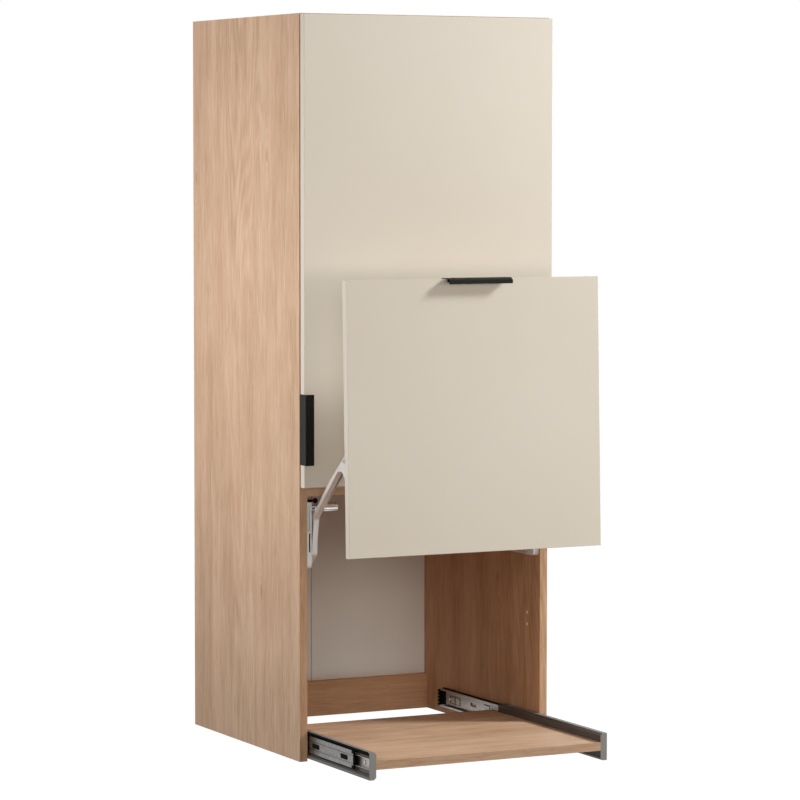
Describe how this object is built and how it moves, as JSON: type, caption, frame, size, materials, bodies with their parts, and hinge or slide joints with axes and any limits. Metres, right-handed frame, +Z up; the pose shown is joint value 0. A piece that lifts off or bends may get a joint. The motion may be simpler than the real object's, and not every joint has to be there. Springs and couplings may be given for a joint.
{
  "type": "kitchen wall cabinet",
  "caption": "Tall kitchen wall cabinet with an upper door, a lift-up flap on twin swing arms and a pull-out appliance shelf at its open base.",
  "frame": {"origin": "middle of the cabinet's back face, at the level of its base", "axes": "+X to the right seen from the front, +Y from the front to the wall, +Z up"},
  "size_m": [0.6, 0.858, 1.586],
  "materials": {
    "oak_outside": "light oak decor with an upright grain, satin",
    "oak_inside": "light oak decor, satin",
    "front_board": "supermatt warm beige lacquer",
    "back_board": "pale grey smooth board",
    "white_plastic": "matt",
    "grey_plastic": "matt",
    "bright_zinc": "bright zinc plate",
    "slide_steel": "zinc plated strip steel",
    "profile_paint": "grey satin powder coat",
    "black_metal": "black satin powder coat",
    "stop_plastic": "black satin",
    "arm_paint": "light grey satin paint",
    "housing_plastic": "light grey satin",
    "barrel_steel": "bright turned steel"
  },
  "bodies": {
    "carcass": {"side_left": "oak_outside", "side_right": "oak_outside", "top_panel": "oak_outside", "fixed_shelf": "oak_inside", "lower_shelf": "oak_inside", "upper_shelf": "oak_inside", "shelf_supports": "bright_zinc", "back_panel_left": "back_board", "back_panel_right": "back_board", "back_joint_strip": "white_plastic", "back_rail": "oak_inside", "corner_cams": "bright_zinc", "wall_hanger_left": "grey_plastic", "wall_hanger_right": "grey_plastic", "hinge_plates": "bright_zinc", "hinge_arms": "bright_zinc", "plate_screws": "bright_zinc", "lift_housing_left": "housing_plastic", "lift_housing_right": "housing_plastic", "lift_shaft_left": "barrel_steel", "lift_shaft_right": "barrel_steel", "guide_pivots": "bright_zinc", "housing_screws": "bright_zinc", "slide_outer_left": "slide_steel", "slide_outer_right": "slide_steel", "slide_screws": "bright_zinc"},
    "upper_door": {"door_panel": "front_board", "door_handle": "black_metal", "door_handle_screws": "black_metal", "hinge_cups": "bright_zinc", "cup_screws": "bright_zinc", "door_bumpers": "white_plastic"},
    "lift_arms": {"lift_arm_left": "arm_paint", "lift_arm_right": "arm_paint"},
    "guide_arms": {"guide_arm_left": "arm_paint", "guide_arm_right": "arm_paint", "guide_pins": "bright_zinc"},
    "flap": {"flap_panel": "front_board", "flap_handle": "black_metal", "flap_handle_screws": "black_metal", "flap_bracket_left": "bright_zinc", "flap_bracket_right": "bright_zinc", "bracket_screws": "bright_zinc", "flap_bumpers": "white_plastic"},
    "slide_middles": {"slide_middle_left": "slide_steel", "slide_middle_right": "slide_steel", "slide_stops": "stop_plastic"},
    "outer_cages": {"outer_ball_cages": "slide_steel"},
    "inner_cages": {"inner_ball_cages": "slide_steel"},
    "pullout_shelf": {"pullout_board": "oak_outside", "shelf_profile_left": "profile_paint", "shelf_profile_right": "profile_paint", "profile_cap_left": "profile_paint", "profile_cap_right": "profile_paint", "slide_inner_left": "slide_steel", "slide_inner_right": "slide_steel", "profile_screws": "bright_zinc"}
  },
  "joints": [
    {"name": "flap_lift", "type": "hinge", "parent": "carcass", "child": "lift_arms", "pos_m": [0, -0.54706, 0.54149], "axis": [1, 0, 0], "range_deg": [0, 130.29]},
    {"name": "flap_level", "type": "hinge", "parent": "lift_arms", "child": "flap", "pos_m": [0, -0.75625, 0.71612], "axis": [1, 0, 0], "range_deg": [-128.56, 0]},
    {"name": "guide_swing", "type": "hinge", "parent": "carcass", "child": "guide_arms", "pos_m": [0, -0.51248, 0.44347], "axis": [1, 0, 0], "range_deg": [0, 130.46]},
    {"name": "shelf_slide", "type": "slide", "parent": "carcass", "child": "pullout_shelf", "axis": [0, 1, 0], "range_m": [0, 0.3001]},
    {"name": "middle_slide", "type": "slide", "parent": "carcass", "child": "slide_middles", "axis": [0, 1, 0], "range_m": [0, 0.226]},
    {"name": "outer_cage_slide", "type": "slide", "parent": "carcass", "child": "outer_cages", "axis": [0, 1, 0], "range_m": [0, 0.11305]},
    {"name": "inner_cage_slide", "type": "slide", "parent": "carcass", "child": "inner_cages", "axis": [0, 1, 0], "range_m": [0, 0.26305]},
    {"name": "door_hinge", "type": "hinge", "parent": "carcass", "child": "upper_door", "pos_m": [0.2675, -0.5565, 1.08525], "axis": [0, 0, 1], "range_deg": [0, 0.8]}
  ],
  "couplings": [
    {"joint": "flap_level", "follows": "flap_lift", "ratio": -0.98664},
    {"joint": "guide_swing", "follows": "flap_lift", "ratio": 1.0012},
    {"joint": "shelf_slide", "follows": "flap_lift", "m_per_rad": 0.13193},
    {"joint": "middle_slide", "follows": "flap_lift", "m_per_rad": 0.099344},
    {"joint": "outer_cage_slide", "follows": "flap_lift", "m_per_rad": 0.049672},
    {"joint": "inner_cage_slide", "follows": "flap_lift", "m_per_rad": 0.11564}
  ]
}
